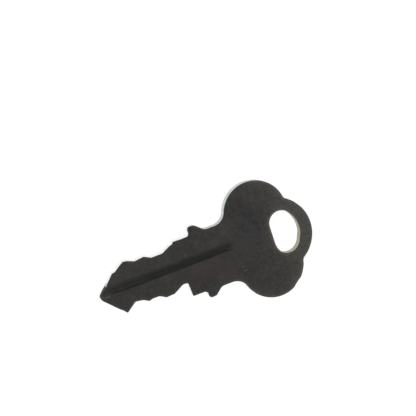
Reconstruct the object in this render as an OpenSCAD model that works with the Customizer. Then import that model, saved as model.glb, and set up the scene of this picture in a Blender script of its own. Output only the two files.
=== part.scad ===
// A flat ignition key with both edges of the blade cut, stamped in one piece from metal plate.
// It lies on its back: the tip points to -X, the bow to +X, and the face with the upper groove up.
// The origin is on the underside, midway between the centres of the bow's two side lobes.

/* [Plate] */
// Thickness of the plate that the key is stamped from
plate_t = 2.1; // [1.6:0.1:2.6]

/* [Bow] */
// Radius of each side lobe
lobe_r = 5.8; // [5.5:0.05:6.2]
// Distance of each side lobe's centre from the key's axis
lobe_offset = 5.1; // [4.8:0.05:5.6]
// Radius of the end lobe, which carries the ring
end_r = 6.75; // [6.4:0.05:7.2]
// Distance of the end lobe's centre behind the side lobes' centres
end_setback = 2.4; // [2:0.05:3]
// Fillet in each notch between a side lobe and the end lobe
notch_fillet = 0.9; // [0.3:0.05:1.5]

/* [Ring hole] */
// Metal between the ring hole and the end of the bow
ring_wall = 2.25; // [1.4:0.05:2.6]
// Length of the hole along the key, from its flat side to its curved side
hole_len = 5.15; // [4.8:0.05:5.6]
// Width of the hole across the key
hole_w = 7.95; // [7:0.05:8.6]
// Radius of the two corners at the ends of the flat side
hole_corner_r = 2.25; // [1.2:0.05:2.3]

/* [Neck and shoulders] */
// Distance of the shoulders' stop faces in front of the side lobes' centres
stop_reach = 12.65; // [12:0.05:16]
// Width of the neck behind the shoulders
neck_w = 10.75; // [10.5:0.05:12]
// Height of the upper shoulder above the axis
shoulder_upper = 6.85; // [6.4:0.05:7.5]
// Depth of the lower shoulder below the axis
shoulder_lower = 6.65; // [6.4:0.05:7.5]
// Length of the flat crest of a shoulder
shoulder_crest = 1.3; // [1:0.05:2]
// Slope of a shoulder's back, down to the neck
shoulder_slope = 41; // [35:1:55]
// Fillet from the neck to each side lobe
neck_fillet = 2.5; // [1.5:0.1:3]

/* [Blade] */
// Length of the blade from the shoulders' stop faces to the tip, before the tip is rounded
blade_len = 18.55; // [18.3:0.05:24]
// Width of the uncut blade
blade_w = 10.5; // [10:0.05:10.6]
// Angle of the point at the tip
point_angle = 92; // [86:1:96]
// Radius at the very end of the point
point_r = 0.4; // [0.1:0.05:0.5]
// Distance of the point's end above the axis
point_rise = 0.05; // [0:0.05:0.2]
// Height of the point's upper corner above the axis
point_upper = 3.65; // [3.4:0.05:3.8]
// Depth of the point's lower corner below the axis
point_lower = 3.95; // [3.5:0.05:4]

/* [Grooves] */
// Depth of each groove
groove_depth = 0.7; // [0.4:0.05:0.75]
// Width of each groove at the face
groove_w = 1.75; // [1.5:0.05:2.2]
// Width of each groove's flat floor, beside its steep wall
groove_floor = 0.8; // [0.5:0.05:1.1]
// Distance of each groove's steep wall from the axis
groove_offset = 0.05; // [0.05:0.05:0.4]
// Distance of the grooves' closed ends in front of the side lobes' centres
groove_stop = 5.5; // [5:0.1:8]
// Radius that the groove's floor rises with at its closed end
groove_end_r = 0.6; // [0.3:0.05:1.5]

/* [Hidden] */

// Corners of the cut edges: distance from the shoulders, depth below the uncut edge, and radius
UPPER_CUTS = [
    [3.1, 0, 0.1], [3.4, 0.36, 0.15],
    [3.85, 0.46, 0.4], [5.5, 1.3, 0.9],
    [7.6, 1.32, 0.7], [8.85, 0.68, 0.5],
    [10.6, 0.9, 0.8], [11.8, 0.4, 0.6],
    [12.6, 0.24, 0.5], [13.5, 0.8, 1],
    [14.5, 1.5, 0.2]
];
LOWER_CUTS = [
    [2.7, 0, 0.1], [2.85, 2.63, 0.35],
    [3.8, 2.63, 0.8], [5.7, 1.6, 0.6],
    [7.3, 1.5, 0.4], [8.4, 2.16, 0.9],
    [9.8, 2.15, 0.7], [10.35, 1.95, 0.3],
    [11.35, 2.52, 1], [12.75, 2.75, 0.6]
];

// Radii of the shoulders' corners: at the blade, on the crest, and at the neck
STOP_FILLET = 0.6;
CREST_FRONT_R = 0.55;
CREST_BACK_R = 1;
SHOULDER_FILLET = 1.4;
// Radius of the point's two outer corners
POINT_CORNER_R = 0.15;

ARC_STEP = 6;     // degrees between the points of a rounded corner
OVERSHOOT = 1;    // how far a cutting solid runs past the metal
BITE = 0.002;     // how far a fillet's arc ends inside the metal that it blends into
$fn = 96;

stop_x = -stop_reach;
tip_x = stop_x - blade_len;
bow_end_x = end_setback + end_r;
lobe_centre = [0, lobe_offset];
end_centre = [end_setback, 0];

function unit(v) = v / norm(v);

function turned(v, angle) = [
    v.x * cos(angle) - v.y * sin(angle),
    v.x * sin(angle) + v.y * cos(angle)
];

// Points of the arc of radius r that rounds the corner b of the line from a over b to c
function corner_arc(a, b, c, r) =
    let (
        to_a = unit(a - b),
        to_c = unit(c - b),
        half = acos(to_a * to_c) / 2,
        centre = b + unit(to_a + to_c) * r / sin(half),
        start = b + to_a * r / tan(half) - centre,
        sweep = (180 - 2 * half) * sign(cross(to_c, to_a)),
        steps = ceil(abs(sweep) / ARC_STEP)
    )
    [for (i = [0:steps]) centre + turned(start, sweep * i / steps)];

// Outline through corners given as [x, y, r], each rounded to its radius r
function rounded(corners) = [
    let (n = len(corners))
    for (i = [0:n - 1])
        let (
            a = corners[(i + n - 1) % n],
            b = corners[i],
            c = corners[(i + 1) % n]
        )
        each b.z > 0
            ? corner_arc([a.x, a.y], [b.x, b.y], [c.x, c.y], b.z)
            : [[b.x, b.y]]
];

// Centre of the circle of radius r that touches two circles from outside,
// on the left of the way from the first circle's centre to the second's
function touching(c1, r1, c2, r2, r) =
    let (
        way = c2 - c1,
        d = norm(way),
        along = (d * d + (r1 + r) ^ 2 - (r2 + r) ^ 2) / (2 * d),
        aside = sqrt((r1 + r) ^ 2 - along ^ 2)
    )
    c1 + (along * way + aside * [-way.y, way.x]) / d;

// Corners of one side of the blade, shoulder and neck, from the tip's side to the bow
function side_corners(cuts, point_h, shoulder_h, side) =
    let (
        slope_run = (shoulder_h - neck_w / 2) / tan(shoulder_slope),
        crest_x = stop_x + shoulder_crest,
        point_run = (point_h - side * point_rise) / tan(point_angle / 2)
    )
    [
        [tip_x + point_run, side * point_h, POINT_CORNER_R],
        for (i = [len(cuts) - 1:-1:0])
            [stop_x - cuts[i][0], side * (blade_w / 2 - cuts[i][1]), cuts[i][2]],
        [stop_x, side * blade_w / 2, STOP_FILLET],
        [stop_x, side * shoulder_h, CREST_FRONT_R],
        [crest_x, side * shoulder_h, CREST_BACK_R],
        [crest_x + slope_run, side * neck_w / 2, SHOULDER_FILLET],
        [0, side * neck_w / 2, 0]
    ];

function reversed(list) = [for (i = [len(list) - 1:-1:0]) list[i]];

module blade_outline() {
    polygon(rounded([
        [tip_x, point_rise, point_r],
        each side_corners(UPPER_CUTS, point_upper, shoulder_upper, 1),
        each reversed(side_corners(LOWER_CUTS, point_lower, shoulder_lower, -1))
    ]));
}

// Metal that fills the corner between the neck and a side lobe
module neck_web() {
    rise = neck_w / 2 + neck_fillet;
    reach = sqrt((lobe_r + neck_fillet) ^ 2 - (rise - lobe_offset) ^ 2);
    difference() {
        polygon([[-reach, 0], [-reach, rise], lobe_centre, [0, 0]]);
        translate([-reach, rise]) circle(neck_fillet + BITE);
    }
}

// Metal that fills the bottom of the notch between a side lobe and the end lobe
module notch_web() {
    centre = touching(lobe_centre, lobe_r, end_centre, end_r, notch_fillet);
    difference() {
        polygon([lobe_centre, centre, end_centre]);
        translate(centre) circle(notch_fillet + BITE);
    }
}

// Three overlapping discs, blended into each other and into the neck
module bow() {
    translate(end_centre) cylinder(h = plate_t, r = end_r);
    for (side = [0, 1]) mirror([0, side, 0]) {
        translate(lobe_centre) cylinder(h = plate_t, r = lobe_r);
        linear_extrude(plate_t) neck_web();
        linear_extrude(plate_t) notch_web();
    }
}

// D-shaped hole: a flat side, two round corners and a wide arc that runs on from them
module ring_hole_outline() {
    corner_y = hole_w / 2 - hole_corner_r;
    arc_r = ((hole_len - hole_corner_r) ^ 2 + corner_y ^ 2 - hole_corner_r ^ 2)
        / (2 * (hole_len - 2 * hole_corner_r));
    arc_x = bow_end_x - ring_wall - arc_r;
    flat_x = bow_end_x - ring_wall - hole_len;
    corner_x = flat_x + hole_corner_r;
    far = 2 * arc_r * unit([corner_x - arc_x, corner_y]);
    translate([flat_x, -corner_y]) square([hole_corner_r, 2 * corner_y]);
    for (side = [-1, 1]) translate([corner_x, side * corner_y]) circle(hole_corner_r);
    translate([arc_x, 0]) intersection() {
        circle(arc_r);
        polygon([[0, 0], [far.x, -far.y], [2 * arc_r, 0], far]);
    }
}

// Groove along the upper face, open at the tip, with a steep wall beside the axis
module groove() {
    floor_z = plate_t - groove_depth;
    start_x = tip_x - OVERSHOOT;
    stop = -groove_stop;
    flare = (groove_w - groove_floor) / groove_depth;
    top_y = groove_offset + groove_w + flare * OVERSHOOT;
    intersection() {
        translate([start_x, 0, 0]) rotate([90, 0, 90]) linear_extrude(stop - start_x) polygon([
            [groove_offset, floor_z],
            [groove_offset + groove_floor, floor_z],
            [top_y, plate_t + OVERSHOOT],
            [groove_offset, plate_t + OVERSHOOT]
        ]);
        translate([0, top_y, 0]) rotate([90, 0, 0]) linear_extrude(top_y) {
            translate([start_x, floor_z])
                square([stop - groove_end_r - start_x, groove_depth + OVERSHOOT]);
            translate([start_x, floor_z + groove_end_r])
                square([stop - start_x, groove_depth + OVERSHOOT]);
            translate([stop - groove_end_r, floor_z + groove_end_r]) circle(groove_end_r);
        }
    }
}

module key() {
    color("dimgray") difference() {
        union() {
            linear_extrude(plate_t) blade_outline();
            bow();
        }
        translate([0, 0, -OVERSHOOT])
            linear_extrude(plate_t + 2 * OVERSHOOT) ring_hole_outline();
        groove();
        // The other face has the same groove, half a turn round the key's axis
        translate([0, 0, plate_t]) rotate([180, 0, 0]) groove();
    }
}

key();
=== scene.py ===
"""Looks of a flat ignition key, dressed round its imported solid.

The key is one piece of metal plate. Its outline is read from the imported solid, and the plate is
pressed from that outline again with the small forms that a press tool, a milling cutter and a key
cutter leave: rolled rims, a sheared wall with its torn lower band, softened grooves and worn edges.
"""

import logging
import math
from dataclasses import dataclass, field
from enum import Enum
from typing import Any, Sequence, Union

import bpy
import numpy as np
from mathutils import Matrix, Vector
from mathutils.geometry import delaunay_2d_cdt
from mathutils.kdtree import KDTree


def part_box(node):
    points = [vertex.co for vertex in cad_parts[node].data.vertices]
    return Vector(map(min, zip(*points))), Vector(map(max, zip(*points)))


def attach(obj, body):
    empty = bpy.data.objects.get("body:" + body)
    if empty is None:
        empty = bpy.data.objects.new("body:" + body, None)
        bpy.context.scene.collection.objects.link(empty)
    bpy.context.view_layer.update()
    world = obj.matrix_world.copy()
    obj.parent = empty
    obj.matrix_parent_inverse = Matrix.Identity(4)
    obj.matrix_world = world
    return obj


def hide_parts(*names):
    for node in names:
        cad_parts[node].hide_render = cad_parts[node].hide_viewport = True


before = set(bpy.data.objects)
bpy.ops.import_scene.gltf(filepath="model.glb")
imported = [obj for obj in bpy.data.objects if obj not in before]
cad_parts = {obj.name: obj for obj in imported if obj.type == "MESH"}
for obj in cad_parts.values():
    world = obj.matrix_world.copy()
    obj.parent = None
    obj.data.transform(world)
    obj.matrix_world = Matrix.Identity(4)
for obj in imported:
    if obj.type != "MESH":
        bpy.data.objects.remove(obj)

MM = 0.001
NODE = "key"
BODY = "root"

# Hairlines: how far their noise is drawn out on each axis, and how softly they start
HAIRLINE_STRETCH = (0.04, 1, 0.2)
HAIRLINE_SOFTNESS = 0.05
# Height of a row of equal triangles, as a share of their side
TRIANGLE_ROW = 0.866
# Lengths in millimetres below which a gap is rounding, and two points are one
NOTHING = 1e-6
SAME_POINT = 1e-5
# Widths of a blur after which it has faded out
BLUR_REACH = 4

Colour = tuple[float, float, float]
Operand = Union["Term", float, int]

log = logging.getLogger("key")


class Region(Enum):
    """Parts of the surface that are finished differently."""

    FACE = "key_face"
    SHEARED = "key_sheared_edge"
    CUT = "key_cut_edge"
    BORE = "key_ring_hole_edge"
    MOUTH = "key_groove_mouth"


class Trace(Enum):
    """Numbers that the mesh carries from its making to its finish."""

    RIM = "rim"
    LIFT = "lift"
    ACROSS = "across"
    BORE = "bore"
    OUTWARD = "outward"
    WALL = "wall"


class Seed(Enum):
    """Fixed seeds of the press's noises."""

    RIM = 3.0
    WAVE = 7.0
    TORN_LINE = 11.0
    TORN_DEPTH = 13.0


class Term:
    """A node's output that adds Math nodes when it is used in a Python expression."""

    def __init__(self, nodes: "NodeMaker", socket: bpy.types.NodeSocket) -> None:
        """Keeps the socket and the tree that new nodes go into."""
        self.nodes = nodes
        self.socket = socket

    def __add__(self, other: Operand) -> "Term":
        """Returns self + other."""
        return self.nodes.math("ADD", self, other)

    def __radd__(self, other: Operand) -> "Term":
        """Returns other + self."""
        return self.nodes.math("ADD", other, self)

    def __sub__(self, other: Operand) -> "Term":
        """Returns self - other."""
        return self.nodes.math("SUBTRACT", self, other)

    def __rsub__(self, other: Operand) -> "Term":
        """Returns other - self."""
        return self.nodes.math("SUBTRACT", other, self)

    def __mul__(self, other: Operand) -> "Term":
        """Returns self * other."""
        return self.nodes.math("MULTIPLY", self, other)

    def __rmul__(self, other: Operand) -> "Term":
        """Returns other * self."""
        return self.nodes.math("MULTIPLY", other, self)

    def __truediv__(self, other: Operand) -> "Term":
        """Returns self / other."""
        return self.nodes.math("DIVIDE", self, other)

    def __neg__(self) -> "Term":
        """Returns -self."""
        return self.nodes.math("MULTIPLY", self, -1.0)

    def least(self, other: Operand, blend: float = 0.0) -> "Term":
        """Returns the smaller of two values, rounded over blend where they meet."""
        return self.nodes.math("SMOOTH_MIN", self, other, blend)

    def most(self, other: Operand, blend: float = 0.0) -> "Term":
        """Returns the larger of two values, rounded over blend where they meet."""
        return self.nodes.math("SMOOTH_MAX", self, other, blend)

    def root(self) -> "Term":
        """Returns the square root."""
        return self.nodes.math("SQRT", self)

    def above(self, level: Operand) -> "Term":
        """Returns 1 where self is above a level, and 0 elsewhere."""
        return self.nodes.math("GREATER_THAN", self, level)

    def ramp(self, start: float, end: float) -> "Term":
        """Makes a smooth step between two levels.

        Args:
            start: the level with 0.
            end: the level with 1, which may lie below start.

        Returns:
            A value from 0 to 1.
        """
        low, high = min(start, end), max(start, end)
        step = self.nodes.add(
            "ShaderNodeMapRange",
            {"interpolation_type": "SMOOTHSTEP"},
            {"Value": self, "From Min": low, "From Max": high},
        )
        return step if start < end else 1 - step

    def band(self, start: float, full: float, fading: float, end: float) -> "Term":
        """Returns 1 from full to fading, and smooth steps down to 0 at start and at end."""
        return self.ramp(start, full) * self.ramp(end, fading)


class NodeMaker:
    """Adds nodes to one tree."""

    def __init__(self, tree: bpy.types.NodeTree) -> None:
        """Keeps the tree."""
        self.tree = tree

    def node(
        self,
        kind: str,
        settings: dict[str, Any] | None = None,
        inputs: dict[int | str, Any] | None = None,
    ) -> bpy.types.Node:
        """Adds a node.

        Args:
            kind: the node's type.
            settings: its properties, which are set before its sockets.
            inputs: values or Terms, by the socket's name or number.

        Returns:
            The new node.
        """
        node = self.tree.nodes.new(kind)
        for name, value in (settings or {}).items():
            setattr(node, name, value)
        self.fill(node, inputs or {})
        return node

    def fill(self, node: bpy.types.Node, inputs: dict[int | str, Any]) -> None:
        """Feeds a node's sockets.

        Args:
            node: the node.
            inputs: values, which are set, or Terms, which are linked, by the socket's name or number.
        """
        for key, value in inputs.items():
            if isinstance(value, Term):
                self.tree.links.new(value.socket, node.inputs[key])
            else:
                node.inputs[key].default_value = value

    def found(self, kind: str) -> bpy.types.Node:
        """Returns the first node of a type that a new tree comes with."""
        return next(node for node in self.tree.nodes if node.type == kind)

    def add(
        self,
        kind: str,
        settings: dict[str, Any] | None = None,
        inputs: dict[int | str, Any] | None = None,
        output: int | str = 0,
    ) -> Term:
        """Adds a node and returns one of its outputs.

        Args:
            kind: the node's type.
            settings: its properties.
            inputs: values or Terms, by the socket's name or number.
            output: the output's name or number.

        Returns:
            The output as a Term.
        """
        return Term(self, self.node(kind, settings, inputs).outputs[output])

    def math(self, operation: str, *values: Operand) -> Term:
        """Adds a Math node on values or Terms and returns its result."""
        return self.add("ShaderNodeMath", {"operation": operation}, dict(enumerate(values)))

    def mix(self, factor: Operand, first: Term | Colour, second: Term | Colour) -> Term:
        """Mixes two colours.

        Args:
            factor: 0 for the first and 1 for the second.
            first: a colour.
            second: a colour.

        Returns:
            The mixed colour.
        """
        inputs = {0: factor, 6: opaque(first), 7: opaque(second)}
        return self.add("ShaderNodeMix", {"data_type": "RGBA"}, inputs, 2)

    def coats(self, colour: Term | Colour, coats: Sequence[tuple[Term, Colour]]) -> Term | Colour:
        """Lays coats over a colour, one after another.

        Args:
            colour: the colour under them.
            coats: how much of the surface each coat hides, from 0 to 1, and its colour.

        Returns:
            The colour that shows.
        """
        for share, coat in coats:
            colour = self.mix(share, colour, coat)
        return colour

    def vector(self, operation: str, first: Term, second: Any, socket: int | str = 1) -> Term:
        """Adds a Vector Math node.

        Args:
            operation: its operation.
            first: a vector.
            second: a vector, or a number for SCALE.
            socket: the socket that takes the second value.

        Returns:
            The resulting vector.
        """
        inputs = {0: first, socket: second}
        return self.add("ShaderNodeVectorMath", {"operation": operation}, inputs)

    def axes(self, vector: Term) -> list[Term]:
        """Returns a vector's three numbers."""
        outputs = self.node("ShaderNodeSeparateXYZ", inputs={0: vector}).outputs
        return [Term(self, output) for output in outputs]


def opaque(colour: Term | Colour) -> Term | tuple[float, float, float, float]:
    """Returns a plain colour with an alpha of 1, and a Term as it is."""
    return colour if isinstance(colour, Term) else (*colour, 1.0)


class Finish(NodeMaker):
    """A new material's tree, with the patterns that the key's finishes share."""

    def __init__(self, name: str) -> None:
        """Makes the material; its coordinates are the key's own millimetres.

        Args:
            name: the material's name.
        """
        self.material = bpy.data.materials.new(name)
        self.material.use_nodes = True
        super().__init__(self.material.node_tree)
        self.shader = self.found("BSDF_PRINCIPLED")
        place = self.add("ShaderNodeTexCoord", output="Object")
        self.place = self.vector("SCALE", place, 1 / MM, "Scale")
        self.x, self.y, self.z = self.axes(self.place)

    def trace(self, name: Trace, kind: str = "Fac") -> Term:
        """Returns a number or a vector that the mesh carries."""
        return self.add("ShaderNodeAttribute", {"attribute_name": name.value}, output=kind)

    def noise(
        self, waves: float, detail: float = 2.0, stretch: Sequence[float] = (1, 1, 1), turn: float = 0.0
    ) -> Term:
        """Adds noise.

        Args:
            waves: waves in a millimetre.
            detail: octaves of finer noise.
            stretch: factors on X, Y and Z; a small one draws the pattern out along that axis.
            turn: turn of the drawn-out pattern about Z, in degrees.

        Returns:
            A value from 0 to 1.
        """
        turned = self.add(
            "ShaderNodeMapping",
            {"vector_type": "POINT"},
            {"Vector": self.place, "Rotation": (0.0, 0.0, math.radians(turn))},
        )
        stretched = self.vector("MULTIPLY", turned, tuple(stretch))
        inputs = {"Vector": stretched, "Scale": waves, "Detail": detail}
        return self.add("ShaderNodeTexNoise", {"noise_dimensions": "3D"}, inputs, "Fac")

    def hairlines(self, waves: float, turn: float, share: float) -> Term:
        """Adds fine straight scratches in one direction.

        Args:
            waves: scratches in a millimetre across.
            turn: their direction, in degrees from X.
            share: level of the noise above which there is a scratch.

        Returns:
            1 in a scratch and 0 elsewhere.
        """
        return self.noise(waves, 1, HAIRLINE_STRETCH, -turn).ramp(share, share + HAIRLINE_SOFTNESS)

    def dress(self, colour: Term, roughness: Term, height: Term, relief: float) -> None:
        """Feeds the shader.

        Args:
            colour: base colour.
            roughness: roughness.
            height: relief in millimetres.
            relief: strength of the relief.
        """
        inputs = {"Strength": relief, "Distance": MM, "Height": height}
        normal = self.add("ShaderNodeBump", inputs=inputs, output="Normal")
        self.fill(self.shader, {"Base Color": colour, "Roughness": roughness, "Normal": normal})


@dataclass(frozen=True)
class Scrape:
    """A mark on the upper face: its middle, half its length and width in millimetres, and its turn.

    The core is the share of its area that is marked in full, before it fades to its border.
    """

    x: float
    y: float
    length: float
    width: float
    turn: float = 0.0
    core: float = 0.25

    def mask(self, make: Finish) -> Term:
        """Draws the mark.

        Args:
            make: the material's tree.

        Returns:
            1 inside the mark and 0 outside, with a soft border.
        """
        c, s = math.cos(math.radians(self.turn)), math.sin(math.radians(self.turn))
        along = ((make.x - self.x) * c + (make.y - self.y) * s) * (1 / self.length)
        aside = ((make.y - self.y) * c - (make.x - self.x) * s) * (1 / self.width)
        return (along * along + aside * aside).ramp(1.0, self.core)


@dataclass(frozen=True)
class Pattern:
    """Even mottling: its waves in a millimetre, its octaves, its first and full level, and its turn."""

    waves: float
    octaves: float
    first: float
    full: float
    turn: float = 0.0

    def mask(self, make: Finish) -> Term:
        """Returns 0 where the noise is below the first level and 1 where it is above the full one."""
        return make.noise(self.waves, self.octaves, turn=self.turn).ramp(self.first, self.full)


@dataclass(frozen=True)
class DarkFace:
    """Dull dark skin on both faces and in the grooves, worn through a little at the rims.

    The rims carry a painted highlight, brightest where they face highlight_way, as X and Y.
    """

    skin: Colour = (0.0285, 0.0276, 0.0253)
    stain: Colour = (0.0134, 0.0130, 0.0118)
    purple: Colour = (0.0366, 0.0252, 0.0257)
    olive: Colour = (0.0252, 0.0299, 0.0246)
    warm: Colour = (0.0350, 0.0280, 0.0270)
    pale: Colour = (0.0410, 0.0374, 0.0376)
    blued: Colour = (0.0240, 0.0244, 0.0268)
    rubbed: Colour = (0.0585, 0.0562, 0.0510)
    # Groove's darkening, partly a stain and partly painted shade beside its steep wall; also the pits'
    # colour
    groove: Colour = (0.0122, 0.0142, 0.0145)
    bare: Colour = (0.15, 0.145, 0.135)
    # Colour of the painted highlight on the rims
    highlight_colour: Colour = (0.168, 0.150, 0.130)
    brassy: Colour = (0.075, 0.066, 0.038)
    gloss: float = 0.16
    wear: float = 0.30
    # Strength of the painted light on the groove's sides
    sides: float = 1.0
    relief: float = 0.6
    # Way, as X and Y, that the rims with the painted highlight face
    highlight_way: tuple[float, float] = (0.77, -0.64)
    cloud: Pattern = Pattern(0.35, 3, 0.32, 0.68)
    mottle: Pattern = Pattern(1.5, 3, 0.32, 0.68)
    flecks: Pattern = Pattern(3.6, 2, 0.40, 0.60)
    reddish: Pattern = Pattern(0.42, 2, 0.42, 0.58, 40.0)
    greenish: Pattern = Pattern(0.55, 2, 0.47, 0.62, 70.0)
    tinge: Pattern = Pattern(1.8, 3, 0.40, 0.60, 25.0)
    moss: Pattern = Pattern(1.6, 3, 0.40, 0.60, 80.0)
    sparkle: Pattern = Pattern(3.3, 1, 0.62, 0.74, 55.0)
    pits: Pattern = Pattern(4.5, 2, 0.68, 0.75)
    scrape_grain: Pattern = Pattern(7.0, 2, 0.3, 0.6)
    speck_grain: Pattern = Pattern(5.0, 2, 0.35, 0.6)
    blue_patch: Scrape = Scrape(-0.8, 4.7, 6.0, 5.9)
    warm_patch: Scrape = Scrape(-8.5, -1.2, 9.0, 4.2)
    pale_patch: Scrape = Scrape(-9.2, 4.3, 4.8, 2.7)
    # Raises the rims' painted highlight round the ring hole
    ring_highlight: Scrape = Scrape(1.6, 0.0, 1.7, 4.4)
    # Spreads the groove's darkening, partly painted shade, over its closed end
    groove_end: Scrape = Scrape(-6.2, 1.15, 0.95, 0.60)
    scrapes: tuple[Scrape, ...] = (
        Scrape(-4.9, -4.2, 0.45, 0.12, 4.0),
        Scrape(-5.2, -3.4, 0.30, 0.06, -4.0),
        Scrape(-14.5, 2.2, 0.30, 0.08, 80.0),
        Scrape(-29.75, -0.03, 0.7, 0.16, 3.0),
    )
    scuffs: tuple[Scrape, ...] = (
        Scrape(-5.8, -3.7, 0.55, 0.30, 15.0),
        Scrape(-1.0, -4.15, 1.3, 0.16, -54.0),
    )
    specks: tuple[Scrape, ...] = (
        Scrape(3.0, 6.0, 0.28, 0.22, 20.0),
        Scrape(-4.2, 3.2, 0.32, 0.2, -30.0),
        Scrape(5.6, 5.2, 0.12, 0.1, 0.0),
    )

    def material(self, name: str) -> bpy.types.Material:
        """Makes the material.

        Args:
            name: the material's name.

        Returns:
            The material.
        """
        make = Finish(name)
        rim = make.trace(Trace.RIM)
        top = make.trace(Trace.LIFT).ramp(0.4, 0.6)
        cloud, pits = self.cloud.mask(make), self.pits.mask(make)
        grain = make.noise(14.0, 2)
        cutter_lines = make.noise(16.0, 2, (0.02, 1, 1))
        inside = self._in_groove(make)
        # Partly a stain, partly painted shade: darker beside the groove's steep wall, fading towards the
        # open tip
        groove_stain_and_shade = inside * (1 - make.x.ramp(-17.0, -30.0) * 0.70)
        hair = self._hair(make, groove_stain_and_shade)
        worn = (rim + make.noise(1.3, 3) * 0.16).ramp(0.13, 0.06)
        scraped = self._any(make, self.scrapes) * top * self.scrape_grain.mask(make)
        specked = self._any(make, self.specks) * top * self.speck_grain.mask(make)
        scuffed = self._any(make, self.scuffs) * top
        coats = (
            # painted glints: sparkle in the bare-metal colour, stronger towards the bow
            (self.sparkle.mask(make) * (0.05 + make.x.ramp(-4.0, 4.0) * 0.10), self.bare),
            # painted shade and stain in the groove
            (groove_stain_and_shade * 0.90, self.groove),
            (scuffed * 0.5, self.stain),
            # painted light on the groove's sides, in the rubbed colour
            (self._groove_painted_light(make) * self.sides, self.rubbed),
            # painted highlight on the rims that face one way
            (self._rim_highlight(make, rim), self.highlight_colour),
            (grain.ramp(0.5, 0.75) * 0.35, self.stain),
            (hair * 0.03, self.bare),
            (worn * self.wear, self.bare),
            (scraped * 0.5, self.bare),
            (specked * 0.55, self.brassy),
            (pits * 0.4, self.groove),
        )
        colour = make.coats(self._mottled_skin(make, rim, inside, cloud), coats)
        roughness = 0.50 + cloud * 0.06 + grain * 0.10 + groove_stain_and_shade * 0.06 - (worn + scraped + hair) * 0.08
        height = grain * 0.004 - pits * 0.010 - hair * 0.003 - scraped * 0.006
        height = height + groove_stain_and_shade * cutter_lines * 0.008
        make.fill(make.shader, {"Metallic": 0.0, "Specular IOR Level": self.gloss})
        make.dress(colour, roughness, height, self.relief)
        return make.material

    def _mottled_skin(self, make: Finish, rim: Term, inside: Term, cloud: Term) -> Term:
        """Colours the skin before its marks: its patches, its tints, its rubbing and its spots.

        Args:
            make: the material's tree.
            rim: distance from the outline.
            inside: 1 in the groove and 0 outside.
            cloud: the widest spots.

        Returns:
            The colour.
        """
        handled = self._handled(make, rim)
        mottle, reddish = self.mottle.mask(make), self.reddish.mask(make)
        warmed = self.warm_patch.mask(make)
        blued = self.blue_patch.mask(make) * (1 - reddish * 0.45)
        purpled = (reddish * 0.34 + self.tinge.mask(make) * 0.23) * (1 - inside * 0.9) * (1 - blued * 0.4)
        greened = (self.greenish.mask(make) * 0.38 + self.moss.mask(make) * 0.23) * (1 - blued * 0.8)
        coats = (
            (warmed * 0.65, self.warm),
            (self.pale_patch.mask(make) * 0.8, self.pale),
            (blued * 0.9, self.blued),
            (purpled, self.purple),
            (greened, self.olive),
            ((handled * (1.20 - mottle * 0.4)).least(1.0), self.rubbed),
        )
        spots = cloud * 0.36 + mottle * 0.32 + self.flecks.mask(make) * 0.32 - 0.5
        shade = 1 - spots * (0.68 - warmed * 0.22 - handled.least(1.0) * 0.46)
        return make.vector("SCALE", make.coats(self.skin, coats), shade, "Scale")

    @staticmethod
    def _hair(make: Finish, groove_stain_and_shade: Term) -> Term:
        """Draws the fine scratches of use: along the blade, and everywhere in two directions.

        Args:
            make: the material's tree.
            groove_stain_and_shade: 1 in the groove, which they don't reach.

        Returns:
            1 in a scratch and 0 elsewhere.
        """
        along = make.hairlines(9.0, 0.0, 0.62) * make.x.ramp(-8.0, -13.0)
        hair = along + make.hairlines(6.0, 34.0, 0.70) + make.hairlines(5.0, -58.0, 0.72)
        return (hair * (1 - groove_stain_and_shade)).least(1.0)

    @staticmethod
    def _handled(make: Finish, rim: Term) -> Term:
        """Tells how much fingers and the ring have rubbed the face: most on the bow and its rims.

        Args:
            make: the material's tree.
            rim: distance from the outline.

        Returns:
            0 where the skin is whole and 1 where it is rubbed most.
        """
        on_bow = make.x.ramp(-6.5, 3.0)
        broad = make.x.ramp(-2.5, 10.0) * 0.80 + (make.y * make.y).ramp(36.0, 100.0) * on_bow * 0.15
        return broad + rim.ramp(2.2, 0.3) * on_bow * 0.25

    def _rim_highlight(self, make: Finish, rim: Term) -> Term:
        """Paints a highlight on the rims that face highlight_way: most on the bow, and none on the upper
        left.

        Args:
            make: the material's tree.
            rim: distance from the outline.

        Returns:
            Share of the painted highlight's colour.
        """
        out_x, out_y, _ = make.axes(make.trace(Trace.OUTWARD, "Vector"))
        side = (out_x * self.highlight_way[0] + out_y * self.highlight_way[1]).ramp(-0.80, -0.45)
        share = 0.07 + make.x.ramp(-12.0, -4.0) * 0.11 + self.ring_highlight.mask(make) * 0.10
        return rim.ramp(0.60, 0.22) * side * share

    @staticmethod
    def _groove_painted_light(make: Finish) -> Term:
        """Paints light into the groove where its shade is deep: on the steep wall, the slope, the tip and
        near the closed end.

        Args:
            make: the material's tree.

        Returns:
            Share of the rubbed colour, laid on as painted light.
        """
        across = make.trace(Trace.ACROSS)
        at_tip = make.x.ramp(-28.2, -29.6)
        before_end = make.x.ramp(-5.0, -6.5)
        slope = across.band(0.75, 0.95, 1.20, 1.45) * make.x.ramp(-6.4, -7.4) * 0.20
        on_wall = across.band(-0.05, 0.05, 0.25, 0.45) * before_end
        wall = on_wall * (0.08 + at_tip * 0.75)
        tip = across.band(0.15, 0.35, 1.45, 1.75) * at_tip * 0.25
        near_tip = across.ramp(0.22, 0.12) * on_wall * make.x.ramp(-26.0, -28.0) * 0.35
        near_end = across.band(0.0, 0.1, 0.18, 0.42) * make.x.ramp(-11.0, -8.5) * 0.35
        return slope + wall + tip + near_tip + near_end * before_end

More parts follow.
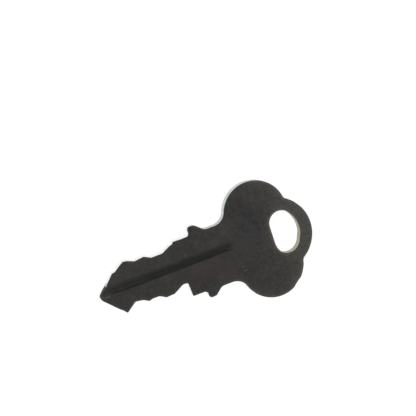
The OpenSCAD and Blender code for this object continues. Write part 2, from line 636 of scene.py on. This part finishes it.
    def _in_groove(self, make: Finish) -> Term:
        """Tells how dark the groove is coloured: partly a stain, partly painted shade beside its steep wall.

        Args:
            make: the material's tree.

        Returns:
            1 beside the groove's steep wall, and less towards its other side and its end.
        """
        across = make.trace(Trace.ACROSS)
        end = 1 - (1 - make.x.ramp(-5.3, -8.6)) * (1 - self.groove_end.mask(make) * 0.6)
        return across.band(0.15, 0.45, 0.75, 1.75) * end

    @staticmethod
    def _any(make: Finish, marks: Sequence[Scrape]) -> Term:
        """Returns the marks' masks together."""
        return sum(mark.mask(make) for mark in marks)


@dataclass(frozen=True)
class BareEdge:
    """Bare metal on a wall of the plate, streaked through the thickness."""

    clean: Colour = (0.61, 0.65, 0.635)
    dull: Colour = (0.30, 0.31, 0.315)
    torn_to: float = 0.26
    streaks: float = 3.0
    roughness: float = 0.34
    relief: float = 0.5
    patch: Scrape = Scrape(-9.6, 5.6, 6.0, 2.2)
    patch_colour: Colour = (0.51, 0.48, 0.445)

    def material(self, name: str) -> bpy.types.Material:
        """Makes the material.

        Args:
            name: the material's name.

        Returns:
            The material.
        """
        make = Finish(name)
        lift = make.trace(Trace.LIFT)
        streak = make.noise(self.streaks, 3, (1, 1, 0.06))
        ragged = make.noise(1.6, 3, (1, 1, 0.3)) - 0.5
        torn = (lift + ragged * 0.10).ramp(self.torn_to + 0.03, self.torn_to - 0.03)
        skin = (lift + ragged * 0.12).ramp(0.70, 1.0)
        grain = make.noise(9.0, 3)
        coats = (
            (streak.ramp(0.35, 0.75) * 0.3, self.dull),
            (torn * 0.55, self.dull),
            (skin * 0.6, self.dull),
            (self.patch.mask(make) * 0.8, self.patch_colour),
        )
        roughness = self.roughness + torn * 0.22 + streak * 0.08
        height = streak * 0.010 + torn * grain * 0.02
        make.fill(make.shader, {"Metallic": 1.0})
        make.dress(make.coats(self.clean, coats), roughness, height, self.relief)
        return make.material


FINISHES: dict[Region, DarkFace | BareEdge] = {
    Region.FACE: DarkFace(),
    Region.SHEARED: BareEdge(),
    Region.CUT: BareEdge(
        clean=(0.955, 0.955, 0.945),
        dull=(0.33, 0.312, 0.295),
        torn_to=-0.2,
        streaks=6.0,
        roughness=0.28,
        patch=Scrape(-29.35, 1.75, 0.6, 0.6),
        patch_colour=(0.30, 0.31, 0.315),
    ),
    Region.BORE: BareEdge(
        clean=(0.350, 0.336, 0.225),
        dull=(0.26, 0.245, 0.155),
        roughness=0.38,
        patch=Scrape(5.0, -3.7, 2.0, 2.0),
        patch_colour=(0.350, 0.366, 0.285),
    ),
    Region.MOUTH: DarkFace(wear=0.0, gloss=0.05, sides=0.0),
}


@dataclass(frozen=True)
class Groove:
    """Section and run-out of each groove, in millimetres; the underside's is turned half a turn.

    The last four say how far each bend's rows of points reach past it, and where the flats have rows.
    """

    depth: float = 0.7
    wall_y: float = 0.10
    wall_drift: float = 0.006
    drift_from_x: float = -11.0
    wall_lean: float = 0.26
    width: float = 1.70
    floor: float = 0.75
    stop_x: float = -5.35
    stop_lag: float = 0.1
    runout: float = 1.25
    softness: float = 0.09
    drift_room: float = 0.15
    foot_room: float = 0.07
    bend_room: float = 0.1
    flat_rows: tuple[float, ...] = (0.3, 0.45, 0.6, 1.1, 1.3, 1.5)

    def rows(self) -> np.ndarray:
        """Places rows of points along the groove, close together at the bends of its section.

        Returns:
            The rows' heights above the axis.
        """
        foot = self.wall_y + self.wall_lean
        floor_end = self.wall_y + self.floor
        top = self.wall_y + self.width
        bends = (
            np.linspace(self.wall_y - self.drift_room, foot + self.foot_room, 10),
            np.linspace(floor_end - self.bend_room, floor_end + self.bend_room, 4),
            np.linspace(top - self.bend_room, top + self.bend_room, 5),
        )
        return np.unique(np.concatenate([*bends, self.flat_rows]))


@dataclass(frozen=True)
class Dent:
    """A worn place on the outline, or a raised one where its depth is below zero, in millimetres."""

    x: float
    y: float
    depth: float
    reach: float


@dataclass
class Outline:
    """The plate's outline, half-way through its thickness, as closed loops in millimetres.

    The outer loop runs anticlockwise and the hole clockwise, so the metal lies on the left. The hole
    is the loop that stays within hole_reach of the origin along X. A loop's last step is at least
    least_step times as long as the others.
    """

    step: float = 0.11
    fine_step: float = 0.05
    fine_x: float = -28.6
    least_step: float = 0.4
    softness: float = 0.03
    hole_reach: float = 10.0
    dents: tuple[Dent, ...] = (
        Dent(3.5, -9.6, 0.16, 0.9),
        Dent(7.9, 3.9, 0.03, 0.6),
        Dent(-14.2, 5.2, 0.03, 0.5),
        Dent(4.4, -3.8, -0.045, 1.6),
        Dent(6.45, -1.9, -0.06, 0.6),
        Dent(2.0, -2.5, -0.06, 0.9),
        Dent(5.7, -6.5, -0.05, 0.9),
        Dent(-31.0, 0.0, 0.06, 0.4),
        Dent(-29.7, 1.85, 0.07, 0.5),
        Dent(-27.8, -3.4, 0.06, 0.6),
    )
    loops: list[np.ndarray] = field(init=False)
    starts: np.ndarray = field(init=False)
    ends: np.ndarray = field(init=False)
    outward: np.ndarray = field(init=False)
    numbers: list[np.ndarray] = field(init=False)
    before: np.ndarray = field(init=False)
    tree: KDTree = field(init=False)

    def read(self, solid: bpy.types.Object) -> None:
        """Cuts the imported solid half-way up and keeps the loops that the cut makes.

        Args:
            solid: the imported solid.
        """
        mesh = solid.data
        mesh.calc_loop_triangles()
        points = np.array([v.co for v in mesh.vertices]) / MM
        triangles = np.array([t.vertices for t in mesh.loop_triangles])
        middle = 0.5 * (points[:, 2].min() + points[:, 2].max())
        ways: dict[tuple[float, float], np.ndarray] = {}
        for corners in points[triangles]:
            above = corners[:, 2] > middle
            if above.all() or not above.any():
                continue
            ends: list[np.ndarray] = [corners[0], corners[0]]
            for i in range(3):
                a, b = corners[i], corners[(i + 1) % 3]
                if above[i] != above[(i + 1) % 3]:
                    ends[int(above[i])] = a + (middle - a[2]) / (b[2] - a[2]) * (b - a)
            ways[self._key(ends[0])] = ends[1][:2]
        self.loops = [self._finished(loop) for loop in self._chained(ways)]
        self.loops.sort(key=len, reverse=True)
        self._index()

    def _index(self) -> None:
        """Prepares the lines of all the loops for finding the nearest one to a point."""
        self.starts = np.vstack(self.loops)
        self.ends = np.vstack([np.roll(loop, -1, axis=0) for loop in self.loops])
        self.outward = -np.vstack([self.inward(loop) for loop in self.loops])
        self.numbers = []
        base = 0
        for loop in self.loops:
            self.numbers.append(np.arange(base, base + len(loop)))
            base += len(loop)
        self.before = np.concatenate([np.roll(n, 1) for n in self.numbers])
        self.tree = KDTree(base)
        for i, (x, y) in enumerate(self.starts):
            self.tree.insert((x, y, 0.0), i)
        self.tree.balance()

    @staticmethod
    def _key(point: np.ndarray) -> tuple[float, float]:
        """Returns a point's place rounded so that equal places match."""
        return round(float(point[0]), 4), round(float(point[1]), 4)

    def _chained(self, ways: dict[tuple[float, float], np.ndarray]) -> list[np.ndarray]:
        """Joins the cut's short lines end to end.

        Args:
            ways: the end of each line by the key of its start.

        Returns:
            Closed loops.
        """
        loops = []
        while ways:
            start, end = ways.popitem()
            loop = [end]
            while self._key(end) != start:
                end = ways.pop(self._key(end))
                loop.append(end)
            loops.append(np.array(loop))
        return loops

    def _finished(self, loop: np.ndarray) -> np.ndarray:
        """Spaces a loop's points evenly, softens its corners and presses its dents in.

        Args:
            loop: the loop as it was cut.

        Returns:
            The finished loop.
        """
        ahead = np.roll(loop, -1, axis=0)
        area = 0.5 * np.sum(loop[:, 0] * ahead[:, 1] - ahead[:, 0] * loop[:, 1])
        is_hole = np.abs(loop[:, 0]).max() < self.hole_reach
        if (area > 0) == is_hole:
            loop = loop[::-1]
        closed = np.vstack([loop, loop[:1]])
        along = np.concatenate([[0], np.cumsum(np.linalg.norm(np.diff(closed, axis=0), axis=1))])
        spacing = self.fine_step / 2
        marks = np.arange(0, along[-1], spacing)
        even = np.column_stack([np.interp(marks, along, closed[:, i]) for i in range(2)])
        even = self._softened(even, self.softness / spacing)
        for dent in self.dents:
            even = self._dented(even, dent)
        keep = [0]
        for i in range(1, len(even)):
            step = self.fine_step if even[i, 0] < self.fine_x else self.step
            if marks[i] - marks[keep[-1]] >= step - NOTHING:
                keep.append(i)
        if along[-1] - marks[keep[-1]] < self.least_step * self.step:
            keep.pop()
        return even[keep]

    @staticmethod
    def _softened(points: np.ndarray, spread: float) -> np.ndarray:
        """Blurs a closed line of evenly spaced points.

        Args:
            points: the points.
            spread: width of the blur, in points.

        Returns:
            The blurred points.
        """
        reach = int(BLUR_REACH * spread) + 1
        offsets = np.arange(-reach, reach + 1)
        weights = np.exp(-0.5 * (offsets / spread) ** 2)
        weights /= weights.sum()
        return sum(w * np.roll(points, -o, axis=0) for w, o in zip(weights, offsets))

    def _dented(self, points: np.ndarray, dent: Dent) -> np.ndarray:
        """Moves points near a dent into the metal.

        Args:
            points: a closed line.
            dent: the dent.

        Returns:
            The dented line.
        """
        away = np.linalg.norm(points - [dent.x, dent.y], axis=1)
        push = dent.depth * np.exp(-((away / dent.reach) ** 4))
        return points + self.inward(points) * push[:, None]

    @staticmethod
    def inward(loop: np.ndarray) -> np.ndarray:
        """Finds the way into the metal at each of a loop's points.

        Args:
            loop: the loop.

        Returns:
            Unit directions.
        """
        way = np.roll(loop, -1, axis=0) - np.roll(loop, 1, axis=0)
        way /= np.linalg.norm(way, axis=1)[:, None]
        return np.column_stack([-way[:, 1], way[:, 0]])

    def nearest(self, points: np.ndarray) -> np.ndarray:
        """Returns the numbers of the outline's points that lie nearest to other points."""
        return np.array([self.tree.find((x, y, 0.0))[1] for x, y in points])

    def depth_of(self, points: np.ndarray) -> np.ndarray:
        """Measures how far points lie from the outline.

        Args:
            points: the points.

        Returns:
            Distances, which are below 0 outside the metal.
        """
        nearest = self.nearest(points)
        away = np.full(len(points), np.inf)
        for segment in (nearest, self.before[nearest]):
            a = self.starts[segment]
            way = self.ends[segment] - a
            share = np.clip(((points - a) * way).sum(1) / (way**2).sum(1), 0, 1)
            away = np.minimum(away, np.linalg.norm(points - a - share[:, None] * way, axis=1))
        return np.where(self._inside(points), away, -away)

    def _inside(self, points: np.ndarray) -> np.ndarray:
        """Tells which points lie in the metal, by the lines that a ray along X crosses.

        Args:
            points: the points.

        Returns:
            True for each point in the metal.
        """
        inside = np.zeros(len(points), bool)
        for (ax, ay), (bx, by) in zip(self.starts, self.ends):
            if ay == by:
                continue
            spans = (ay > points[:, 1]) != (by > points[:, 1])
            inside ^= spans & (points[:, 0] < (bx - ax) * (points[:, 1] - ay) / (by - ay) + ax)
        return inside

    @staticmethod
    def lines(rings: Sequence[np.ndarray]) -> list[tuple[int, int]]:
        """Returns the pairs of numbers that follow each other round each ring of numbers."""
        return [(int(i), int(j)) for ring in rings for i, j in zip(ring, np.roll(ring, -1))]


@dataclass
class Blank:
    """The plate before it is pressed: two flat faces and the wall between them.

    Its points stand in rings along the outline, in rows along the grooves, closer together from
    end_before to end_after of their closed ends, and in a grid of equal triangles elsewhere.
    """

    outline: Outline
    groove: Groove
    thickness: float
    rings: tuple[float, ...] = (0.012, 0.03, 0.055, 0.09, 0.14, 0.21)
    ring_crowding: float = 0.85
    ring_room: float = 0.08
    spacing: float = 0.42
    row_step: float = 0.22
    end_step_share: float = 0.4
    end_before: float = 1.6
    end_after: float = 0.4
    grid_room: float = 0.6
    lifts: tuple[float, ...] = (0.05, 0.12, 0.2, 0.25, 0.3, 0.42, 0.6, 0.8, 0.94)
    inside: tuple[float, float] = (-3.0, 0.0)

    def mesh(self, name: str) -> bpy.types.Mesh:
        """Makes the blank.

        Args:
            name: the mesh's name.

        Returns:
            A closed mesh in metres, with its traces.
        """
        flat, triangles, borders = self._face()
        count = len(flat)
        below, share, walls = self._walls(borders, count)
        index = np.concatenate([np.arange(count), np.arange(count), below])
        lift = np.concatenate([np.zeros(count), np.ones(count), share])
        caps = [list(t[::-1]) for t in triangles] + [list(t + count) for t in triangles]
        verts = np.column_stack([flat[index], lift * self.thickness]) * MM
        mesh = bpy.data.meshes.new(name)
        mesh.from_pydata(verts.tolist(), [], [[int(i) for i in face] for face in caps + walls])
        rim = np.maximum(self.outline.depth_of(flat), 0)
        rim[np.concatenate(borders)] = 0
        bore = np.zeros(count)
        bore[borders[1]] = 1.0
        outward = self.outline.outward[self.outline.nearest(flat)][index]
        on_wall = [False] * len(caps) + [True] * len(walls)
        self._mark(mesh, Trace.RIM, rim[index])
        self._mark(mesh, Trace.LIFT, lift)
        self._mark(mesh, Trace.ACROSS, (2 * lift - 1) * flat[index, 1])
        self._mark(mesh, Trace.BORE, bore[index])
        self._mark(mesh, Trace.OUTWARD, np.column_stack([outward, np.zeros(len(index))]), "FLOAT_VECTOR")
        self._mark(mesh, Trace.WALL, np.array(on_wall), "BOOLEAN", "FACE")
        mesh.update()
        return mesh

    def _walls(
        self, borders: list[np.ndarray], count: int
    ) -> tuple[np.ndarray, np.ndarray, list[list[int]]]:
        """Joins the two faces by a wall along each loop.

        Args:
            borders: the numbers of each loop's points in one face.
            count: how many points a face has.

        Returns:
            For each new point the number of the face's point under it and its share of the
            thickness, and the walls' faces.
        """
        below, share, faces = [], [], []
        total = 2 * count
        for border in borders:
            rows = [border]
            for level in self.lifts:
                below.append(border)
                share.append(np.full(len(border), level))
                rows.append(np.arange(total, total + len(border)))
                total += len(border)
            rows.append(border + count)
            for low, high in zip(rows, rows[1:]):
                faces += [list(q) for q in zip(low, np.roll(low, -1), np.roll(high, -1), high)]
        return np.concatenate(below), np.concatenate(share), faces

    @staticmethod
    def _mark(
        mesh: bpy.types.Mesh, name: Trace, values: np.ndarray, kind: str = "FLOAT", domain: str = "POINT"
    ) -> None:
        """Writes a trace on the mesh.

        Args:
            mesh: the mesh.
            name: the trace.
            values: a value for each point or face.
            kind: their type.
            domain: what carries them.
        """
        part = "vector" if kind == "FLOAT_VECTOR" else "value"
        mesh.attributes.new(name.value, kind, domain).data.foreach_set(part, values.ravel())

    def _face(self) -> tuple[np.ndarray, np.ndarray, list[np.ndarray]]:
        """Meshes one flat face.

        Returns:
            Its points, its anticlockwise triangles, and the numbers of each loop's points.
        """
        points = np.vstack([self.outline.starts, self._inner_points()])
        lines = self.outline.lines(self.outline.numbers)
        found = delaunay_2d_cdt([Vector(p) for p in points], lines, [], 0, SAME_POINT, True)
        flat = np.array([(v.x, v.y) for v in found[0]])
        place_of = {old: new for new, olds in enumerate(found[3]) for old in olds}
        borders = [np.array([place_of[i] for i in n]) for n in self.outline.numbers]
        triangles = self._metal(flat, np.array(found[2]), borders)
        used = np.unique(triangles)
        number = np.full(len(flat), -1)
        number[used] = np.arange(len(used))
        flat, triangles = flat[used], number[triangles]
        a, b, c = (flat[triangles[:, i]] for i in range(3))
        clockwise = np.cross(b - a, c - a) < 0
        triangles[clockwise] = triangles[clockwise][:, ::-1]
        return flat, triangles, [number[border] for border in borders]

    def _metal(self, flat: np.ndarray, triangles: np.ndarray, borders: list[np.ndarray]) -> np.ndarray:
        """Picks the triangles of metal, by spreading from one inside and never over the outline.

        Args:
            flat: the points.
            triangles: triangles inside the outline, in the hole and outside.
            borders: the numbers of each loop's points.

        Returns:
            The triangles of metal.
        """
        closed = {frozenset(line) for line in self.outline.lines(borders)}
        sides = [[frozenset((a, b)), frozenset((b, c)), frozenset((c, a))] for a, b, c in triangles.tolist()]
        beside: dict[frozenset[int], list[int]] = {}
        for number, edges in enumerate(sides):
            for edge in edges:
                if edge not in closed:
                    beside.setdefault(edge, []).append(number)
        middles = flat[triangles].mean(axis=1)
        waiting = [int(np.argmin(np.linalg.norm(middles - self.inside, axis=1)))]
        metal = np.zeros(len(triangles), bool)
        while waiting:
            number = waiting.pop()
            metal[number] = True
            for edge in sides[number]:
                waiting += [n for n in beside.get(edge, ()) if not metal[n]]
        return triangles[metal]

    def _inner_points(self) -> np.ndarray:
        """Places the points inside the outline.

        Returns:
            The points of the rims, of the grooves and of the open face.
        """
        depth_of = self.outline.depth_of
        groups = []
        for ring in self.rings:
            placed = self.outline.starts - self.outline.outward * ring
            groups.append(placed[depth_of(placed) > self.ring_crowding * ring])
        low, high = self.outline.starts.min(0), self.outline.starts.max(0)
        rows = self.groove.rows()
        stop = self.groove.stop_x
        end_from, end_to = stop - self.end_before, stop + self.end_after
        end_step = self.end_step_share * self.row_step
        xs = np.concatenate([
            np.arange(low[0], end_from, self.row_step),
            np.arange(end_from, end_to, end_step),
        ])
        lines = np.array([(x, side * y) for x in xs for y in rows for side in (-1, 1)])
        groups.append(lines[depth_of(lines) > self.rings[-1] + self.ring_room])
        grid = []
        for j, y in enumerate(np.arange(low[1], high[1], self.spacing * TRIANGLE_ROW)):
            shift = 0.5 * self.spacing * (j % 2)
            grid += [(x + shift, y) for x in np.arange(low[0], high[0], self.spacing)]
        grid = np.array(grid)
        beside = np.abs(grid[:, 1]) < rows.max() + 0.5 * self.spacing
        beside &= grid[:, 0] < stop + self.grid_room
        clear = depth_of(grid) > self.rings[-1] + 0.5 * self.spacing
        groups.append(grid[clear & ~beside])
        return np.vstack(groups)


@dataclass(frozen=True)
class Press:
    """Small forms that the tools and wear leave on the plate, in millimetres."""

    rolled: float = 0.06
    cut_rim: float = 0.03
    under_rim: float = 0.04
    torn_to: float = 0.26
    torn_depth: float = 0.03
    torn_reach: float = 0.25
    waviness: float = 0.012
    cut_from_x: float = -10.9
    cut_to_x: float = -31.5
    cut_blend: float = 0.15
    mouth_x: float = -29.45


class PressTree(NodeMaker):
    """Geometry nodes that press a flat blank into the finished plate."""

    def __init__(self, name: str, press: Press, groove: Groove, thickness: float) -> None:
        """Builds the tree.

        Args:
            name: the tree's name.
            press: the small forms.
            groove: the grooves' section.
            thickness: the plate's thickness in millimetres.
        """
        super().__init__(bpy.data.node_groups.new(name, "GeometryNodeTree"))
        self.press = press
        self.softness = groove.softness
        self.identifiers: dict[str, float] = {}
        face = self.tree.interface
        face.new_socket("Geometry", in_out="INPUT", socket_type="NodeSocketGeometry")
        face.new_socket("Geometry", in_out="OUTPUT", socket_type="NodeSocketGeometry")
        for title, value in {
            "Thickness": thickness,
            "Rolled Rim": press.rolled,
            "Cut Rim": press.cut_rim,
            "Under Rim": press.under_rim,
            "Torn Share": press.torn_to,
            "Torn Depth": press.torn_depth,
            "Waviness": press.waviness,
            "Cut From": press.cut_from_x,
            "Cut To": press.cut_to_x,
            "Mouth": press.mouth_x,
            "Groove Depth": groove.depth,
            "Groove Wall": groove.wall_y,
            "Wall Drift": groove.wall_drift,
            "Drift From": groove.drift_from_x,
            "Wall Lean": groove.wall_lean,
            "Groove Width": groove.width,
            "Groove Floor": groove.floor,
            "Groove Stop": groove.stop_x,
            "Stop Lag": groove.stop_lag,
            "Groove Run-out": groove.runout,
        }.items():
            socket = face.new_socket(title, in_out="INPUT", socket_type="NodeSocketFloat")
            self.identifiers[socket.identifier] = value
        self.given = self.tree.nodes.new("NodeGroupInput")
        self._build()

    def size(self, title: str) -> Term:
        """Returns a named input."""
        return Term(self, self.given.outputs[title])

    def trace(self, name: Trace, kind: str = "FLOAT") -> Term:
        """Returns a trace of the blank."""
        inputs = {"Name": name.value}
        return self.add("GeometryNodeInputNamedAttribute", {"data_type": kind}, inputs)

    def noise(self, place: Term, waves: float, detail: float, seed: Seed) -> Term:
        """Adds noise with a fixed seed.

        Args:
            place: the point in millimetres.
            waves: waves in a millimetre.
            detail: octaves of finer noise.
            seed: the seed, which is the noise's fourth coordinate.

        Returns:
            A value from 0 to 1.
        """
        inputs = {"Vector": place, "W": seed.value, "Scale": waves, "Detail": detail}
        return self.add("ShaderNodeTexNoise", {"noise_dimensions": "4D"}, inputs, 0)

    def rounded(self, rim: Term, radius: Term) -> Term:
        """Returns how far a quarter round of this radius lies below the face."""
        inside = (radius - rim).most(0.0)
        return radius - (radius * radius - inside * inside).most(0.0).root()

    def groove_depth(self, x: Term, y: Term) -> Term:
        """Returns the depth of the groove at a point.

        Args:
            x: place along the key.
            y: place across the key, positive on the groove's side.

        Returns:
            The depth in millimetres.
        """
        depth, width = self.size("Groove Depth"), self.size("Groove Width")
        drift = (self.size("Drift From") - x).most(0.0) * self.size("Wall Drift")
        beside = y - self.size("Groove Wall") + drift
        wall = beside * depth / self.size("Wall Lean")
        slope = (width - beside) * depth / (width - self.size("Groove Floor"))
        late = (1 - beside / width).most(0.0).least(1.0)
        stop = self.size("Groove Stop") - self.size("Stop Lag") * late
        end = (stop - x) * depth / self.size("Groove Run-out")
        for plane in (slope, wall, end):
            depth = depth.least(plane, self.softness)
        return depth.most(0.0, self.softness)

    def _build(self) -> None:
        """Adds the nodes that move the points and set the materials."""
        position = self.add("GeometryNodeInputPosition")
        place = self.vector("SCALE", position, 1 / MM, "Scale")
        x, y, _ = self.axes(place)
        blend = self.press.cut_blend
        cut = (self.size("Cut From") - x).ramp(-blend, blend) * (x - self.size("Cut To")).ramp(-blend, blend)
        height = self._height(place, x, y, cut)
        outward = self.trace(Trace.OUTWARD, "FLOAT_VECTOR")
        shift = self.vector("SCALE", outward, self._pull(place, cut), "Scale")
        moved = self.vector("MULTIPLY", position, (1.0, 1.0, 0.0))
        moved = self.vector("SUBTRACT", moved, shift)
        raised = self.add("ShaderNodeCombineXYZ", inputs={"Z": height * MM})
        moved = self.vector("ADD", moved, raised)
        geometry = Term(self, self.given.outputs["Geometry"])
        geometry = self.add("GeometryNodeSetPosition", inputs={"Geometry": geometry, "Position": moved})
        geometry = self.add("GeometryNodeRealizeInstances", inputs={"Geometry": geometry})
        wall = self.trace(Trace.WALL, "BOOLEAN")
        at_mouth = (self.size("Mouth") - x).above(0.0) * y.above(0.0)
        for region, where in {
            Region.FACE: None,
            Region.SHEARED: wall,
            Region.CUT: wall * cut.above(0.5),
            Region.BORE: wall * self.trace(Trace.BORE).above(0.5),
            Region.MOUTH: wall * at_mouth,
        }.items():
            inputs = {"Geometry": geometry, "Material": bpy.data.materials[region.value]}
            if where is not None:
                inputs["Selection"] = where
            geometry = self.add("GeometryNodeSetMaterial", inputs=inputs)
        out = self.tree.nodes.new("NodeGroupOutput")
        self.tree.links.new(geometry.socket, out.inputs["Geometry"])

    def _height(self, place: Term, x: Term, y: Term, cut: Term) -> Term:
        """Works out the height of each point, from the two faces' forms and the share between them.

        Args:
            place: the point in millimetres.
            x: place along the key.
            y: place across the key.
            cut: 1 where the key cutter has been and 0 elsewhere.

        Returns:
            The height in millimetres.
        """
        rim, lift = self.trace(Trace.RIM), self.trace(Trace.LIFT)
        worn = 0.65 + 0.7 * self.noise(place, 0.6, 2, Seed.RIM)
        rolled = self.size("Rolled Rim")
        radius = (rolled + (self.size("Cut Rim") - rolled) * cut) * worn
        wave = self.noise(place, 0.09, 1, Seed.WAVE) * self.size("Waviness")
        upper = self.size("Thickness") - self.rounded(rim, radius) - wave - self.groove_depth(x, y)
        lower = self.rounded(rim, self.size("Under Rim") * worn) + self.groove_depth(x, -y)
        return lower + (upper - lower) * lift

    def _pull(self, place: Term, cut: Term) -> Term:
        """Works out how far the torn lower band of a sheared wall lies inside the outline.

        Args:
            place: the point in millimetres.
            cut: 1 where the key cutter has been and 0 elsewhere.

        Returns:
            The distance in metres.
        """
        rim, lift = self.trace(Trace.RIM), self.trace(Trace.LIFT)
        ragged = (self.noise(place, 1.6, 3, Seed.TORN_LINE) - 0.5) * 0.08
        torn = (self.size("Torn Share") - lift - ragged).ramp(-0.03, 0.03)
        rough = 0.6 + 0.8 * self.noise(place, 2.5, 3, Seed.TORN_DEPTH)
        near_wall = rim.ramp(self.press.torn_reach, 0.0)
        return torn * (1 - cut) * near_wall * rough * self.size("Torn Depth") * MM


@dataclass
class Key:
    """The whole key, which is one piece of plate."""

    thickness: float
    groove: Groove = field(default_factory=Groove)
    press: Press = field(default_factory=Press)
    outline: Outline = field(default_factory=Outline)
    sharp_angle: float = 50.0

    def build(self, solid: bpy.types.Object) -> bpy.types.Object:
        """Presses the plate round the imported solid's outline.

        Args:
            solid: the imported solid.

        Returns:
            The finished piece.
        """
        for region, finish in FINISHES.items():
            finish.material(region.value)
        self.outline.read(solid)
        blank = Blank(self.outline, self.groove, self.thickness)
        piece = bpy.data.objects.new("key_plate", blank.mesh("key_blank"))
        bpy.context.scene.collection.objects.link(piece)
        tree = PressTree("key_press", self.press, self.groove, self.thickness)
        modifier = piece.modifiers.new("press", "NODES")
        modifier.node_group = tree.tree
        for identifier, value in tree.identifiers.items():
            modifier[identifier] = value
        graph = bpy.context.evaluated_depsgraph_get()
        pressed = bpy.data.meshes.new_from_object(piece.evaluated_get(graph))
        piece.modifiers.clear()
        piece.data = pressed
        pressed.name = "key_plate"
        pressed.shade_smooth()
        pressed.set_sharp_from_angle(angle=math.radians(self.sharp_angle))
        return piece

    def declare(self, piece: bpy.types.Object) -> None:
        """Hides the imported node and attaches the piece to its body.

        Args:
            piece: the finished piece.
        """
        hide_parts(NODE)
        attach(piece, BODY)


@dataclass(frozen=True)
class Lamp:
    """A square soft lamp: where it stands and its width in millimetres, and its strength."""

    name: str
    place: tuple[float, float, float]
    width: float
    watts: float


@dataclass
class Studio:
    """Pale floor, soft light and the camera, in millimetres round the key."""

    look_at: tuple[float, float, float] = (-7.85, 8.82, 2.1)
    distance: float = 212.4
    azimuth: float = 134.0
    elevation: float = 76.72
    roll: float = 116.81
    lens: float = 103.85
    floor_width: float = 3000.0
    floor_colour: Colour = (0.85, 0.85, 0.85)
    floor_roughness: float = 0.9
    floor_glow: float = 1.06
    glow_share: float = 0.88
    world_light: float = 0.70
    world_colour: Colour = (1.0, 1.0, 1.0)
    clip_from: float = 10.0
    clip_to: float = 10000.0
    lamps: tuple[Lamp, ...] = (
        Lamp("lamp_left", (-420.0, 260.0, 480.0), 600.0, 1.5),
        Lamp("lamp_right", (380.0, -120.0, 420.0), 400.0, 0.45),
    )

    def build(self) -> None:
        """Makes the floor, the world, the lamps and the camera."""
        self._floor()
        self._world()
        for lamp in self.lamps:
            self._lamp(lamp)
        self._camera()
        bpy.context.scene.view_settings.view_transform = "Standard"

    @staticmethod
    def _seen(make: NodeMaker) -> Term:
        """Tells the camera's rays from those of the light.

        Args:
            make: the tree of the floor or the world.

        Returns:
            1 for what the camera sees, straight or in a reflection, and 0 for light.
        """
        path = make.node("ShaderNodeLightPath")
        rays = (Term(make, path.outputs[f"Is {kind} Ray"]) for kind in ("Camera", "Glossy", "Transmission"))
        camera, glossy, through = rays
        return camera.most(glossy).most(through)

    def _floor(self) -> None:
        """Lays a white floor that keeps a light shadow of the key."""
        half = 0.5 * self.floor_width * MM
        mesh = bpy.data.meshes.new("floor")
        corners = [(-half, -half, 0), (half, -half, 0), (half, half, 0), (-half, half, 0)]
        mesh.from_pydata(corners, [], [(0, 1, 2, 3)])
        floor = bpy.data.objects.new("floor", mesh)
        bpy.context.scene.collection.objects.link(floor)
        make = Finish("floor_white")
        make.fill(make.shader, {
            "Base Color": opaque(self.floor_colour),
            "Roughness": self.floor_roughness,
            "Specular IOR Level": 0.0,
        })
        glow = make.add("ShaderNodeEmission", inputs={"Strength": self.floor_glow})
        inputs = {0: self._seen(make) * self.glow_share, 1: Term(make, make.shader.outputs[0]), 2: glow}
        both = make.add("ShaderNodeMixShader", inputs=inputs)
        make.fill(make.found("OUTPUT_MATERIAL"), {"Surface": both})
        mesh.materials.append(make.material)

    def _world(self) -> None:
        """Lights the scene evenly and shows white to the camera and in reflections."""
        world = bpy.data.worlds.new("studio")
        bpy.context.scene.world = world
        world.use_nodes = True
        make = NodeMaker(world.node_tree)
        strength = self.world_light + self._seen(make) * (1.0 - self.world_light)
        inputs = {"Color": opaque(self.world_colour), "Strength": strength}
        make.fill(make.found("BACKGROUND"), inputs)

    def _lamp(self, lamp: Lamp) -> None:
        """Hangs one soft lamp that shines at the key.

        Args:
            lamp: the lamp.
        """
        light = bpy.data.lights.new(lamp.name, "AREA")
        light.size = lamp.width * MM
        light.energy = lamp.watts
        holder = bpy.data.objects.new(lamp.name, light)
        holder.location = Vector(lamp.place) * MM
        holder.rotation_euler = (-holder.location).to_track_quat("-Z", "Y").to_euler()
        bpy.context.scene.collection.objects.link(holder)

    def _camera(self) -> None:
        """Places the camera at the photograph's angle."""
        data = bpy.data.cameras.new("camera")
        data.lens = self.lens
        data.clip_start, data.clip_end = self.clip_from * MM, self.clip_to * MM
        side, rise = math.radians(self.azimuth), math.radians(self.elevation)
        back = Vector((math.cos(side) * math.cos(rise), math.sin(side) * math.cos(rise), math.sin(rise)))
        up = (Vector((0, 0, 1)) - back.z * back).normalized()
        turn = Matrix.Rotation(math.radians(self.roll), 3, "Z")
        facing = Matrix((up.cross(back), up, back)).transposed() @ turn
        camera = bpy.data.objects.new("camera", data)
        place = Matrix.Translation((Vector(self.look_at) + back * self.distance) * MM)
        camera.matrix_world = place @ facing.to_4x4()
        bpy.context.scene.collection.objects.link(camera)
        bpy.context.scene.camera = camera


def main() -> None:
    """Builds the studio and the key, and reports each piece."""
    logging.basicConfig(level=logging.INFO, format="%(name)s: %(message)s")
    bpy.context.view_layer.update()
    low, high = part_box(NODE)
    Studio().build()
    key = Key(thickness=(high.z - low.z) / MM)
    piece = key.build(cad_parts[NODE])
    key.declare(piece)
    log.info("%s: %d points, %d faces", piece.name, len(piece.data.vertices), len(piece.data.polygons))


if __name__ == "__main__":
    main()
